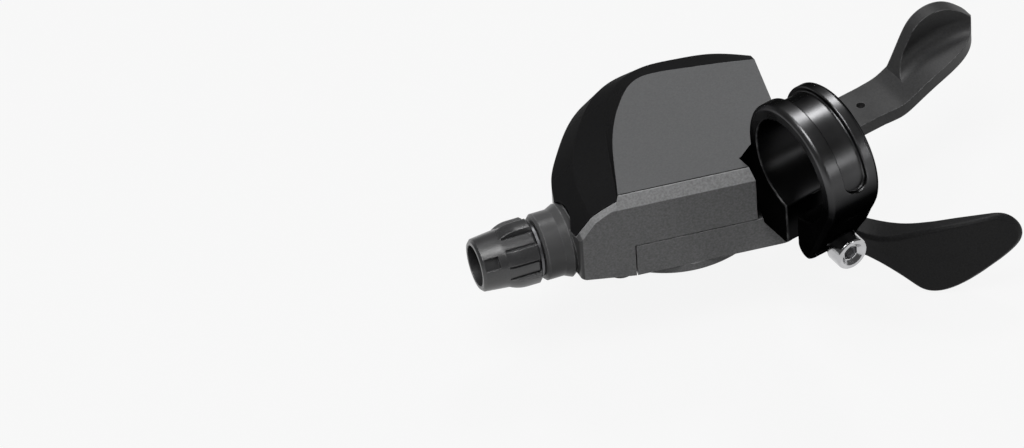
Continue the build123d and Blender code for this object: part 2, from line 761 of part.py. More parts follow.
with BuildPart() as hold_spring:
    with BuildLine():
        coil = Helix(
            pitch=wire_pitch,
            height=hold_turns * wire_pitch,
            radius=post_r + gap + wire / 2,
            center=deck.from_local_coords((*hold_at, -index_top + gap + wire / 2)),
        )
    with BuildSketch(Plane(origin=coil @ 0, z_dir=coil % 0)):
        RegularPolygon(wire / 2, 4)
    sweep(is_frenet=True)
hold_spring.part.label = "hold_pawl_spring"
export_step(hold_spring.part, "parts/hold_pawl_spring.step")

# Thumb lever: a hub under the dish, an arm and an upright blade that thins toward its tip.
with BuildPart() as blade_form:
    with BuildSketch(blade.offset(-far)):
        with BuildLine():
            Spline(*blade_line)
            Polyline(blade_line[-1], *arm_low, *arm_top, blade_line[0])
        make_face()
    extrude(amount=2 * far)
    with BuildSketch(lever_deck.offset(-far)):
        with BuildLine():
            Spline(*blade_rear)
            Line(blade_rear[-1], blade_front[0])
            Spline(*blade_front)
            Line(blade_front[-1], blade_rear[0])
        make_face()
    extrude(amount=2 * far, mode=Mode.INTERSECT)
    chamfer(blade_form.edges().sort_by(SortBy.LENGTH)[-2:], blade_break)

with BuildPart() as thumb_lever:
    with BuildSketch(deck.offset(-hub_low)):
        Circle(lever_hub_r)
    extrude(amount=hub_t)
    chamfer(thumb_lever.edges().group_by(Axis.Z)[0], lever_break)
    add(blade_form.part)
    with BuildSketch(deck.offset(-hub_top)):
        Circle(sleeve_r)
    extrude(amount=hub_top - carrier_low - run_fit)
    with BuildSketch(deck.offset(-carrier_low - run_fit)):
        RegularPolygon(sleeve_key_r, 6)
    extrude(amount=carrier_t + run_fit)
    with BuildSketch(deck.offset(-hub_low)):
        Circle(bush_r)
    extrude(amount=far, mode=Mode.SUBTRACT)
thumb_lever.part.label = "thumb_lever"
export_step(thumb_lever.part, "parts/thumb_lever.step")

with BuildPart() as thumb_bush:
    with BuildSketch(deck.offset(-hub_low)):
        Circle(bush_r)
        Circle(axle_r + run_fit, mode=Mode.SUBTRACT)
    extrude(amount=hub_low - carrier_top)
thumb_bush.part.label = "thumb_bush"
export_step(thumb_bush.part, "parts/thumb_bush.step")

with BuildPart() as drive_plate:
    with BuildSketch(deck.offset(-carrier_low)):
        Circle(carrier_r)
        RegularPolygon(sleeve_key_r + key_fit, 6, mode=Mode.SUBTRACT)
    extrude(amount=carrier_t)
drive_plate.part.label = "drive_plate"
export_step(drive_plate.part, "parts/drive_plate.step")

with BuildPart() as drive_pawl_pin:
    with BuildSketch(deck.offset(-carrier_top)):
        with Locations(polar(drive_tip + drive_pin_rise, drive_pin_turn)):
            Circle(drive_pin_r)
    extrude(amount=carrier_top - drive_top)
drive_pawl_pin.part.label = "drive_pawl_pin"
export_step(drive_pawl_pin.part, "parts/drive_pawl_pin.step")

with BuildPart() as drive_pawl:
    with BuildSketch(deck.offset(-drive_low)):
        with Locations(polar(drive_tip + drive_pin_rise, drive_pin_turn)):
            Circle(drive_pin_r + drive_hub)
        Polygon(*[polar(drive_tip + rise, turn) for rise, turn in drive_pawl_line], align=None)
        with Locations(polar(drive_tip + drive_pin_rise, drive_pin_turn)):
            Circle(drive_pin_r + run_fit, mode=Mode.SUBTRACT)
    extrude(amount=drive_t)
drive_pawl.part.label = "drive_pawl"
export_step(drive_pawl.part, "parts/drive_pawl.step")

with BuildPart() as drive_pawl_spring:
    with BuildSketch(deck.offset(-carrier_top)):
        with BuildLine():
            leaf_out = CenterArc((0, 0), carrier_r - leaf_edge, leaf_start, leaf_sweep)
            leaf_in = CenterArc((0, 0), carrier_r - leaf_edge - leaf_t, leaf_start, leaf_sweep)
            Line(leaf_out @ 0, leaf_in @ 0)
            Line(leaf_out @ 1, leaf_in @ 1)
        make_face()
    extrude(amount=leaf_h)
drive_pawl_spring.part.label = "drive_pawl_spring"
export_step(drive_pawl_spring.part, "parts/drive_pawl_spring.step")

with BuildPart() as thumb_spring:
    with BuildSketch(deck.offset(-carrier_low)):
        Circle(dish_cavity_r - gap)
        Circle(dish_cavity_r - gap - wire, mode=Mode.SUBTRACT)
        Polygon((0, 0), polar(far, ring_open[0]), polar(far, ring_open[1]), align=None,
                mode=Mode.SUBTRACT)
    extrude(amount=wire)
thumb_spring.part.label = "thumb_spring"
export_step(thumb_spring.part, "parts/thumb_spring.step")

# Release lever: a flat strip out of the lever-side wall, ending in a curved finger pad.
with BuildPart() as pad_floor:
    floor_low = [(x, z - strip_t) for x, z in reversed(floor_top)]
    with BuildSketch(strip_side.offset(-far)):
        with BuildLine():
            Spline(*floor_top, tangents=((1, 0), (1, pad_slope)))
            Line(floor_top[-1], floor_low[0])
            Spline(*floor_low, tangents=((-1, -pad_slope), (-1, 0)))
            Polyline(floor_low[-1], (pad_west, -strip_t), (pad_west, 0), floor_top[0])
        make_face()
    extrude(amount=2 * far)
    with BuildSketch(strip.offset(-far)):
        with BuildLine():
            Spline((pad_west, strip_south), *pad_south)
            Polyline(pad_south[-1], *pad_back, (pad_west, strip_north), (pad_west, strip_south))
        make_face()
    extrude(amount=2 * far, mode=Mode.INTERSECT)

with BuildPart() as pad_wall:
    wall_foot = [(x, z - strip_t / 2) for x, z in reversed(floor_top[1:-1])]
    with BuildSketch(strip_side.offset(-far)):
        with BuildLine():
            Spline(*wall_rise)
            Polyline(wall_rise[-1], *wall_foot, wall_rise[0])
        make_face()
    extrude(amount=2 * far)
    with BuildSketch(strip.offset(-far)):
        with BuildLine():
            Spline(*pad_north)
            Line(pad_north[-1], pad_inner[0])
            Spline(*pad_inner)
            Line(pad_inner[-1], pad_north[0])
        make_face()
    extrude(amount=2 * far, mode=Mode.INTERSECT)

with BuildPart() as release_lever:
    with BuildSketch(strip):
        Polygon(*strip_root, (strip_west[1], strip_south), (strip_east, strip_south),
                (strip_east, strip_north), (strip_west[0], strip_north), align=None)
    extrude(amount=-strip_t)
    with BuildSketch(deck.offset(-strip_low)):
        with Locations(release_at):
            Circle(release_hub_r)
        with Locations(stud_at):
            Circle(stud_r + stud_wall)
        make_hull()
    extrude(amount=strip_t)
    with BuildSketch(deck.offset(-strip_top)):
        with Locations(stud_at):
            Circle(stud_r)
    extrude(amount=strip_top - index_top)
    add(pad_floor.part)
    add(pad_wall.part)
    with BuildSketch(deck.offset(-strip_low)):
        with Locations(release_at):
            Circle(post_r + run_fit)
    extrude(amount=strip_t, mode=Mode.SUBTRACT)
    with BuildSketch(strip):
        with Locations(strip_hole_at):
            Circle(strip_hole_r)
    extrude(amount=-strip_t, mode=Mode.SUBTRACT)
    crease_at = strip.from_local_coords((*pad_inner[2], floor_top[3][1]))
    fillet(release_lever.edges().sort_by_distance(crease_at)[0], pad_blend)
release_lever.part.label = "release_lever"
export_step(release_lever.part, "parts/release_lever.step")

with BuildPart() as release_spring:
    with BuildLine():
        coil = Helix(
            pitch=wire_pitch,
            height=release_turns * wire_pitch,
            radius=post_r + gap + wire / 2,
            center=deck.from_local_coords((*release_at, -strip_top + gap + wire / 2)),
        )
    with BuildSketch(Plane(origin=coil @ 0, z_dir=coil % 0)):
        RegularPolygon(wire / 2, 4)
    sweep(is_frenet=True)
release_spring.part.label = "release_spring"
export_step(release_spring.part, "parts/release_spring.step")

with BuildPart() as adjuster_screw:
    with BuildSketch(barrel.offset(-screw_tail)):
        Circle(screw_r)
        Circle(inner_cable_r, mode=Mode.SUBTRACT)
    extrude(amount=knob_mouth + screw_tail)
    with BuildSketch(barrel.offset(knob_mouth)):
        Circle(ferrule_r)
    extrude(amount=-ferrule_depth, mode=Mode.SUBTRACT)
adjuster_screw.part.label = "adjuster_screw"
export_step(adjuster_screw.part, "parts/adjuster_screw.step")

# Grip bars of the knob: high beside the collar, running out in a curve toward its mouth.
with BuildPart() as rib_form:
    with BuildSketch(barrel.offset(knob_start)):
        with PolarLocations(knob_r, knob_ribs, start_angle=knob_mark):
            Rectangle(2 * rib_rise, rib_w)
    extrude(amount=rib_length)
    with BuildSketch(barrel_side):
        with BuildLine():
            Polyline((knob_start + rib_length, knob_end_r), (knob_start + rib_length, 0), (knob_start, 0),
                     (knob_start, knob_r + rib_rise - rib_break),
                     (knob_start + rib_break, knob_r + rib_rise), (knob_start + rib_flat, knob_r + rib_rise))
            TangentArc((knob_start + rib_flat, knob_r + rib_rise), (knob_start + rib_length, knob_end_r),
                       tangent=(1, 0))
        make_face()
    revolve(axis=barrel_axis, mode=Mode.INTERSECT)

with BuildPart() as adjuster_knob:
    with BuildSketch(barrel_side):
        with BuildLine():
            Polyline((knob_start, screw_r + key_fit), (knob_start, knob_r - knob_break),
                     (knob_start + knob_break, knob_r), (knob_start + knob_flat, knob_r),
                     (knob_end - knob_break, knob_end_r), (knob_end, knob_end_r - knob_break),
                     (knob_end, knob_mouth_r), (knob_mouth, knob_mouth_r), (knob_mouth, screw_r + key_fit),
                     close=True)
        make_face()
    revolve(axis=barrel_axis)
    add(rib_form.part)
    with BuildSketch(barrel.offset(knob_end - mark_start)):
        with PolarLocations(knob_end_r, 1, start_angle=knob_mark):
            Rectangle(2 * mark_depth, mark_w)
    extrude(amount=-mark_run, mode=Mode.SUBTRACT)
    with BuildSketch(barrel.offset(knob_start)):
        Circle(spring_room_r)
    extrude(amount=spring_room, mode=Mode.SUBTRACT)
adjuster_knob.part.label = "adjuster_knob"
export_step(adjuster_knob.part, "parts/adjuster_knob.step")

with BuildPart() as detent_ring:
    with BuildSketch(barrel.offset(knob_start - detent_gap)):
        Circle(spring_room_r + detent_lip)
        Circle(screw_r + gap, mode=Mode.SUBTRACT)
    extrude(amount=-detent_t)
detent_ring.part.label = "detent_ring"
export_step(detent_ring.part, "parts/detent_ring.step")

with BuildPart() as adjuster_spring:
    with BuildLine():
        coil = Helix(
            pitch=knob_coil,
            height=knob_coils * knob_coil,
            radius=screw_r + 2 * gap + knob_wire / 2,
            center=barrel.from_local_coords((0, 0, knob_start + detent_gap + knob_wire / 2)),
            direction=barrel.z_dir,
        )
    with BuildSketch(Plane(origin=coil @ 0, z_dir=coil % 0)):
        RegularPolygon(knob_wire / 2, 4)
    sweep(is_frenet=True)
adjuster_spring.part.label = "adjuster_spring"
export_step(adjuster_spring.part, "parts/adjuster_spring.step")
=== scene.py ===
"""Trigger gear shifter: finishes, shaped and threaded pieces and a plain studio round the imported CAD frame."""

import json
from math import atan, cos, pi, radians, sin, tan

import bpy
from mathutils import Matrix, Vector


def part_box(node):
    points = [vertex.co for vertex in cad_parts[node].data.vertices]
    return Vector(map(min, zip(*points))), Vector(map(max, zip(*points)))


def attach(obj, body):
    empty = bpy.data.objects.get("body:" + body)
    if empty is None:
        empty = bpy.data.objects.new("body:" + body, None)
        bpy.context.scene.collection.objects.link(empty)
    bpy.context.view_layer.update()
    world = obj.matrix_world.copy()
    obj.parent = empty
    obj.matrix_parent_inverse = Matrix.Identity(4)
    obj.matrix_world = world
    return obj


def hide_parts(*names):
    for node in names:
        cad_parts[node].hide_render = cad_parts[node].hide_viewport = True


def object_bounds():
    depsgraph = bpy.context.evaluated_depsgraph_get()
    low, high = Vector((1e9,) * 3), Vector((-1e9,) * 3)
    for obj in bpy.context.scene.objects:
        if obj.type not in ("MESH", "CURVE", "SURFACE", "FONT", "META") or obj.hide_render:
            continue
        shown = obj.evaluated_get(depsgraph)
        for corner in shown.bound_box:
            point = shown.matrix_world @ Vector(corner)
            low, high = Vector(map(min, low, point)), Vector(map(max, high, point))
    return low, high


bl_info = {
    "name": "Trigger gear shifter",
    "version": (1, 0, 0),
    "blender": (4, 5, 0),
    "location": "3D View > Sidebar > Shifter",
    "description": "Models the fine detail of the packed gear shifter, dresses it and sets up a studio",
    "category": "Object",
}

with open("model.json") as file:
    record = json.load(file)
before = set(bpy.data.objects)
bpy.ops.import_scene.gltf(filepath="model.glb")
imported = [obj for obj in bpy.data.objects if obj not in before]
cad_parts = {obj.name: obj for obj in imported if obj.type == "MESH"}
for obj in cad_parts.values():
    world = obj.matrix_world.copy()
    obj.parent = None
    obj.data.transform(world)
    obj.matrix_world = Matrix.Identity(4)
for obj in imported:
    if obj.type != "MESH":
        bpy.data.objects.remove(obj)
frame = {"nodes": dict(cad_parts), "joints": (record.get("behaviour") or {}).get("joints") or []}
nodes = frame["nodes"]
cad_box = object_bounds()
MM = 0.001
ROUND_SIDES = 96  # facets round a turned shape
THREAD_STEPS = 36  # facets in one turn of a thread
SMOOTH_ANGLE = radians(35)  # faces that meet at a smaller angle are shaded as one
EDGE_ANGLE = radians(30)  # edges that turn by more are rounded
WELD = 0.002 * MM  # vertices of a CAD mesh that are closer are one
SHARP, FLAT = 0.8, 0.995  # cosines between true and rounded normals at which an edge is lightened most and least, as wear from rubbing and as a painted highlight


def joint(name):
    """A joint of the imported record, by name."""
    return next(j for j in frame["joints"] if j["name"] == name)


def colour(name, default, text):
    """A colour property, written as linear values."""
    return bpy.props.FloatVectorProperty(
        name=name, description=text, subtype="COLOR", size=3, min=0, max=1, default=default
    )


def length(name, default, text):
    """A length property in metres."""
    return bpy.props.FloatProperty(name=name, description=text, unit="LENGTH", min=0, default=default)


def level(name, default, text):
    """A property for a height in metres over the middle of the clamp's bore."""
    return bpy.props.FloatProperty(name=name, description=text, unit="LENGTH", default=default)


def share(name, default, text):
    """A property between 0 and 1."""
    return bpy.props.FloatProperty(
        name=name, description=text, subtype="FACTOR", min=0, max=1, default=default
    )


def angle(name, default, text):
    """An angle property, with its default in degrees."""
    return bpy.props.FloatProperty(name=name, description=text, subtype="ANGLE", default=radians(default))


def power(name, default, text):
    """A property for a lamp's power in watts."""
    return bpy.props.FloatProperty(name=name, description=text, unit="POWER", min=0, default=default)


def way(name, default, text):
    """A property for the direction of a lamp as the part sees it."""
    return bpy.props.FloatVectorProperty(
        name=name, description=text, subtype="DIRECTION", size=3, default=default
    )


def ear_point(name, default, text):
    """A property for a point of the clamp's ear, along Y and Z."""
    return bpy.props.FloatVectorProperty(
        name=name, description=text, unit="LENGTH", size=2, default=default
    )


class ShifterColours(bpy.types.PropertyGroup):
    """Colours of the finishes."""

    housing: colour("Housing", (0.205, 0.206, 0.208), "Grained nylon of the housing and base")
    # Each colour named _rub lightens its finish's sharp edges: partly wear from rubbing, partly a painted
    # highlight along the edges.
    housing_rub_highlight: colour("Housing rub", (0.369, 0.3708, 0.3744), "Rubbed edges of the housing and base")
    panel: colour("Panel", (0.105, 0.106, 0.108), "Satin grey of the cover's flat top panel")
    slope: colour("Slopes", (0.016, 0.016, 0.0165), "Black of the cover's slopes")
    cover_rub_highlight: colour("Cover rub", (0.1365, 0.1378, 0.1404), "Rubbed edges of the cover")
    clamp: colour("Clamp", (0.09, 0.09, 0.092), "Black anodising of the clamp band")
    # The clamp's pale edges are mostly a painted highlight, with some bare alloy where it is worn.
    clamp_rub_highlight: colour("Clamp rub", (0.4, 0.4, 0.41), "Bare alloy on the clamp's rubbed edges")
    thumb: colour("Thumb lever", (0.016, 0.016, 0.0165), "Satin black of the thumb lever")
    thumb_rub_highlight: colour("Thumb lever rub", (0.18, 0.18, 0.184), "Rubbed edges of the thumb lever")
    release: colour("Release lever", (0.026, 0.026, 0.0265), "Dark grey of the release lever")
    release_rub_highlight: colour("Release lever rub", (0.22, 0.22, 0.224), "Rubbed edges of the release lever")
    knob: colour("Knob", (0.03, 0.03, 0.031), "Dark grey of the adjuster's knob")
    knob_rub_highlight: colour("Knob rub", (0.18, 0.18, 0.186), "Rubbed edges of the knob")
    collar: colour("Collar", (0.07, 0.07, 0.071), "Dark grey of the barrel's collar")
    plating: colour("Plating", (0.52, 0.52, 0.53), "Bright plating of the clamp bolt")
    steel: colour("Steel", (0.5, 0.5, 0.52), "Ground steel of the movement and small screws")
    wire: colour("Wire", (0.32, 0.32, 0.34), "Drawn wire of the springs")
    ring: colour("Detent ring", (0.14, 0.14, 0.145), "Dark steel of the knob's detent ring")
    brass: colour("Brass", (0.6, 0.43, 0.2), "Brass of the thumb lever's bush")
    spool: colour("Spool", (0.16, 0.16, 0.17), "Acetal of the cable spool")
    spool_rub_highlight: colour("Spool rub", (0.256, 0.256, 0.272), "Rubbed edges of the cable spool")


class ShifterGloss(bpy.types.PropertyGroup):
    """Roughness of the finishes, and how strongly they mirror."""

    housing: share("Housing", 0.48, "Roughness of the housing's nylon")
    housing_shine: share("Housing shine", 0.15, "Specular level of the housing's nylon")
    collar: share("Collar", 0.18, "How much smoother the barrel's collar is")
    panel: share("Panel", 0.5, "Roughness of the cover's panel")
    slope: share("Slopes", 0.55, "Roughness of the cover's slopes")
    slope_metal: share("Slopes' metal", 0.55, "Metallic share of the paint on the slopes")
    cover_shine: share("Cover shine", 0.03, "Specular level of the cover's paint")
    cover_tint: share("Cover tint", 0.32, "Grey of what the cover mirrors at flat angles")
    clamp: share("Clamp", 0.32, "Roughness of the anodising")
    clamp_tint: share("Clamp tint", 0.05, "Grey of what the clamp mirrors at flat angles")
    # Painted shade: the share of its colour that the clamp keeps low down and in its bore, where shade falls.
    clamp_shade_share: share("Clamp dull", 0.15, "Share of its colour that the clamp keeps low down and in its bore")
    thumb: share("Thumb lever", 0.45, "Roughness of the thumb lever")
    thumb_shine: share("Thumb lever shine", 0.1, "Specular level of the thumb lever")
    release: share("Release lever", 0.48, "Roughness of the release lever")
    release_shine: share("Release lever shine", 0.3, "Specular level of the release lever")
    knob: share("Knob", 0.3, "Roughness of the knob")
    knob_shine: share("Knob shine", 0.8, "Specular level of the knob")
    spool: share("Spool", 0.4, "Roughness of the spool")
    spool_shine: share("Spool shine", 0.2, "Specular level of the spool")
    plating: share("Plating", 0.16, "Roughness of the bolt's plating")
    screws: share("Small screws", 0.34, "Roughness of the small screws")
    adjuster: share("Adjuster screw", 0.3, "Roughness of the adjuster's screw")
    ring: share("Detent ring", 0.4, "Roughness of the detent ring")
    steel: share("Steel", 0.36, "Roughness of the movement's steel")
    wire: share("Wire", 0.3, "Roughness of the springs")
    brass: share("Brass", 0.32, "Roughness of the bush")


class ShifterGrain(bpy.types.PropertyGroup):
    """Sizes of the surface textures and places where one finish turns into another."""

    nylon_grain: length("Nylon grain", 0.45 * MM, "Width of one grain of the moulded texture")
    nylon_depth: length("Nylon depth", 0.03 * MM, "Height of the moulded texture")
    paint_speck: length("Paint speck", 0.35 * MM, "Width of one speck in the paint")
    paint_depth: length("Paint depth", 0.009 * MM, "Height of the paint's specks")
    blast_grain: length("Blast grain", 0.2 * MM, "Width of the blasted grain under the anodising")
    blast_depth: length("Blast depth", 0.0018 * MM, "Height of the blasted grain")
    line_depth: length("Line depth", 0.0024 * MM, "Height of the lines in worked metal")
    edge_round: length("Edge round", 0.25 * MM, "Radius that the light sees on a moulded edge")
    metal_round: length("Metal round", 0.125 * MM, "Radius that the light sees on a metal edge")
    # Rub width and rub patch shape the lightened edges, which are wear from rubbing and a painted highlight.
    rub_highlight_width: length("Rub width", 0.375 * MM, "Reach of the rubbing from an edge")
    rub_highlight_patch: length("Rub patch", 1.6 * MM, "Width of the patches in which edges are rubbed")
    cloud: length("Cloud", 9 * MM, "Width of the slow changes in colour and gloss")
    metal_cloud: length("Metal cloud", 3.6 * MM, "Width of those changes on bare metal")
    blend: length("Blend", 0.2 * MM, "Width over which one finish turns into another")
    collar_start: length("Collar start", 0.5 * MM, "Where the collar's colour begins on the barrel's axis")
    panel_edge: length("Panel edge", 0.08 * MM, "Drop below the top panel at which the slopes' black begins")
    # These two heights bound the painted shade that darkens the clamp towards its lower end.
    shade_low: level("Dull below", -2 * MM, "Height below which the clamp's colour is dull")
    shade_high: level("Full above", 7 * MM, "Height above which the clamp's colour is full")


class ShifterThreads(bpy.types.PropertyGroup):
    """Sizes of the clamp bolt and of the adjuster's screw."""

    pitch: length("Pitch", 0.8 * MM, "Rise of either thread in one turn")
    bolt_radius: length("Bolt radius", 2 * MM, "Outer radius of the bolt's thread")
    bolt_depth: length("Bolt thread", 0.42 * MM, "Height of the bolt's thread")
    head_height: length("Head height", 4.2 * MM, "Height of the bolt's head")
    rim: length("Rim", 0.5 * MM, "Rounding of the head's edges")
    socket: length("Socket", 1.5 * MM, "Distance from the socket's axis to one of its flats")
    socket_depth: length("Socket depth", 2.2 * MM, "Depth of the hexagon socket")
    lead_in: length("Lead-in", 0.8 * MM, "Width of the cone round the socket's mouth")
    screw_radius: length("Screw radius", 3 * MM, "Outer radius of the adjuster's screw")
    screw_depth: length("Screw thread", 0.3 * MM, "Height of the adjuster screw's thread")
    screw_start: length("Screw start", 1.5 * MM, "Reach of the screw behind the barrel's own origin")
    screw_end: length("Screw end", 17 * MM, "Reach of the screw toward the knob's mouth")
    cable_radius: length("Cable way", 1 * MM, "Radius of the hole for the inner cable")
    ferrule_radius: length("Ferrule bore", 2.55 * MM, "Radius of the seat for the casing's ferrule")
    ferrule_depth: length("Ferrule depth", 7 * MM, "Depth of that seat")


class ShifterForms(bpy.types.PropertyGroup):
    """Sizes of the forged and moulded forms."""

    bore_radius: length("Bore radius", 11.1 * MM, "Radius of the clamp's bore")
    clamp_edge: length("Clamp edges", 0.3 * MM, "Rounding of the clamp's edges")
    clamp_weld: length("Clamp weld", 0.06 * MM, "Distance within which the cut clamp's vertices become one")
    lever_edge: length("Lever edges", 0.22 * MM, "Rounding of the thumb lever's edges")
    waist_radius: length("Waist radius", 9 * MM, "Hollow that narrows the clamp's ear on the lever side")
    waist_depth: length("Waist depth", 2 * MM, "How far that hollow goes in at the bolt")
    toe_radius: length("Toe radius", 2.55 * MM, "Rounding of the ear's lower end")
    toe_middle: length("Toe middle", 4.3 * MM, "Distance of that rounding's axis behind the bore's axis")
    ear_start: length("Ear start", 2 * MM, "Distance behind the bore's axis at which the ear begins")
    ear_top: ear_point("Ear top", (-11.71 * MM, -8.2 * MM), "Where the ear's outer face leaves the ring")
    ear_heel: ear_point("Ear heel", (-6.8 * MM, -18.6 * MM), "Lower end of the ear's outer face")
    ear_break: length("Ear break", 0.57 * MM, "Depth of the broken edge beside that face")
    rib_count: bpy.props.IntProperty(name="Ribs", description="Grip bars round the knob", min=1, default=6)
    rib_turn: angle("Rib turn", -54, "Turn of the first grip bar about the barrel")
    rib_width: length("Rib width", 3 * MM, "Width of a grip bar")
    rib_groove: length("Rib groove", 0.45 * MM, "Width of the groove beside a grip bar")
    groove_floor: length("Groove floor", 5.45 * MM, "Distance of the grooves' floor from the barrel's axis")
    groove_low: length("Groove start", 8 * MM, "Start of the grooves on the barrel's axis")
    groove_high: length("Groove end", 15.2 * MM, "End of the grooves on the barrel's axis")


class ShifterStage(bpy.types.PropertyGroup):
    """Camera, lamps and floor."""

    azimuth: angle("Azimuth", -32.68, "Camera's turn round the part, from straight behind the bar")
    elevation: angle("Elevation", 42.4, "Camera's height above the horizon")
    roll: angle("Roll", -3.85, "Camera's turn about its own axis")
    lens: bpy.props.FloatProperty(name="Lens", description="Focal length in millimetres", min=1, default=700)
    picture: bpy.props.IntVectorProperty(
        name="Picture", description="Width and height of the picture in pixels", size=2, default=(1024, 448)
    )
    bore_pixel: bpy.props.FloatVectorProperty(
        name="Bore pixel", size=2, default=(814, 158.1),
        description="Where the middle of the clamp's bore shows, in pixels from the top left"
    )
    pixel: length("Pixel", 0.1989 * MM, "Length on the part that one pixel shows")
    floor: colour("Floor", (0.17, 0.17, 0.17), "Grey that the floor throws back on the part")
    floor_white: share("Floor white", 0.8, "Share of plain white in the floor as the camera sees it")
    floor_glow: bpy.props.FloatProperty(
        name="Floor glow", description="Strength of that white", min=0, default=1.12
    )
    floor_radius: length("Floor radius", 12, "Radius of the floor")
    ambient: share("Ambient", 0.1, "Strength of the light from straight above")
    horizon: share("Horizon", 0.03, "Height of the bright band on the horizon, as a share of straight up")
    key_light: power("Key light", 7.3, "Power of the large soft lamp")
    key_way: way("Key way", (-0.3, -0.08, 0.95), "Direction of the large soft lamp")
    key_distance: length("Key distance", 0.9, "Distance of the large soft lamp")
    key_width: length("Key width", 0.5, "Width of the large soft lamp")
    top_light: power("Top light", 2.0, "Power of the small lamp that puts a sheen on the upper faces")
    top_way: way("Top way", (0.42, 0.42, 0.8), "Direction of the small upper lamp")
    top_distance: length("Top distance", 0.8, "Distance of the small upper lamp")
    top_width: length("Top width", 0.15, "Width of the small upper lamp")
    front_light: power("Front light", 0.45, "Power of the small lamp in front")
    front_way: way("Front way", (0.42, -0.85, 0.31), "Direction of the small lamp in front")
    front_distance: length("Front distance", 0.8, "Distance of the small lamp in front")
    front_width: length("Front width", 0.12, "Width of the small lamp in front")


def look(name):
    """A new node material, with its tree and its shader, ready for a finish."""
    material = bpy.data.materials.new(name)
    material.use_nodes = True
    return material, material.node_tree, material.node_tree.nodes["Principled BSDF"]


def feed(tree, socket, value):
    """Link a socket to another node's output, or set it to a fixed value."""
    if isinstance(value, bpy.types.NodeSocket):
        tree.links.new(value, socket)
    else:
        socket.default_value = value


def put(tree, kind, **values):
    """Add a node and feed its inputs by socket name, with spaces written as underscores."""
    made = tree.nodes.new("ShaderNode" + kind)
    for socket, value in values.items():
        feed(tree, made.inputs[socket.replace("_", " ")], value)
    return made


def calc(tree, kind, operation, *values):
    """Add a Math or VectorMath node and feed its inputs in order."""
    made = tree.nodes.new("ShaderNode" + kind)
    made.operation = operation
    for socket, value in zip(made.inputs, values):
        feed(tree, socket, value)
    return made


def object_noise(tree, width, detail=2.0, stretch=(1, 1, 1)):
    """Noise on the piece's own coordinates, with features of the given width."""
    place = put(tree, "TexCoord")
    mapping = put(tree, "Mapping", Vector=place.outputs["Object"], Scale=[s / width for s in stretch])
    spot = mapping.outputs["Vector"]
    noise = put(tree, "TexNoise", Vector=spot, Scale=1.0, Detail=detail, Roughness=0.55)
    return noise.outputs["Fac"]


def spread(tree, pattern, low, high, start=0.3, end=0.7):
    """Turn a pattern into values between low and high."""
    ramp = put(tree, "MapRange", Value=pattern, From_Min=start, From_Max=end, To_Min=low, To_Max=high)
    return ramp.outputs["Result"]


def scaled(base, factor):
    """A colour made lighter or darker."""
    return tuple(min(1.0, c * factor) for c in base)


def shades(tree, pattern, base, dark, light):
    """A colour that a pattern varies between a darker and a lighter shade."""
    ramp = put(tree, "ValToRGB", Fac=pattern)
    ramp.color_ramp.elements[0].position = 0.32
    ramp.color_ramp.elements[1].position = 0.68
    ramp.color_ramp.elements[0].color = (*scaled(base, dark), 1)
    ramp.color_ramp.elements[1].color = (*scaled(base, light), 1)
    return ramp.outputs["Color"]


def mixed(tree, factor, first, second):
    """A pattern of colours mixed with a second pattern or with a plain colour by a factor."""
    mix = tree.nodes.new("ShaderNodeMix")
    mix.data_type = "RGBA"
    feed(tree, mix.inputs["Factor"], factor)
    feed(tree, mix.inputs["A"], first)
    feed(tree, mix.inputs["B"], second if isinstance(second, bpy.types.NodeSocket) else (*second, 1))
    return mix.outputs["Result"]


def upward(tree, coordinates):
    """The Z value of a kind of texture coordinates."""
    return put(tree, "SeparateXYZ", Vector=put(tree, "TexCoord").outputs[coordinates]).outputs["Z"]


def along_barrel(tree, start):
    """Factor that is 1 past a place on the adjuster's axis and 0 on the housing behind it."""
    turning = joint("knob_turn")
    axis = Vector(turning["axis"])
    along = calc(tree, "VectorMath", "DOT_PRODUCT", put(tree, "TexCoord").outputs["Object"], axis)
    begin = axis.dot(turning["pos_m"]) + start
    blend = bpy.context.scene.shifter_grain.blend
    return spread(tree, along.outputs["Value"], 0.0, 1.0, start=begin, end=begin + blend)


def inside_bore(tree, radius):
    """Factor that is 1 within a radius of the handlebar's axis and 0 outside it."""
    across = calc(tree, "VectorMath", "MULTIPLY", put(tree, "TexCoord").outputs["Object"], (0, 1, 1))
    reach = calc(tree, "VectorMath", "LENGTH", across.outputs["Vector"])
    blend = bpy.context.scene.shifter_grain.blend
    start, end = radius + blend / 2, radius + 1.5 * blend
    return spread(tree, reach.outputs["Value"], 1.0, 0.0, start=start, end=end)


def edge_wear_and_highlight(tree, shader, base, rub_and_highlight, amount=0.8):
    """Lighten the sharp edges, broken up by noise: wear where hands and tools rub, and a painted highlight along
    the edges.
    """
    grain = bpy.context.scene.shifter_grain
    soft = put(tree, "Bevel", Radius=grain.rub_highlight_width)
    flat = put(tree, "NewGeometry")
    facing = calc(tree, "VectorMath", "DOT_PRODUCT", soft.outputs["Normal"], flat.outputs["Normal"])
    edge = spread(tree, facing.outputs["Value"], 1.0, 0.0, start=SHARP, end=FLAT)
    patches = spread(tree, object_noise(tree, grain.rub_highlight_patch), 0.0, amount)
    broken = calc(tree, "Math", "MULTIPLY", edge, patches)
    feed(tree, shader.inputs["Base Color"], mixed(tree, broken.outputs["Value"], base, rub_and_highlight))


def relief(tree, shader, pattern, depth, edge_round):
    """Raise a pattern on the surface and let the light see rounded edges."""
    rounded = put(tree, "Bevel", Radius=edge_round)
    bump = put(tree, "Bump", Strength=1.0, Distance=depth, Height=pattern, Normal=rounded.outputs["Normal"])
    feed(tree, shader.inputs["Normal"], bump.outputs["Normal"])


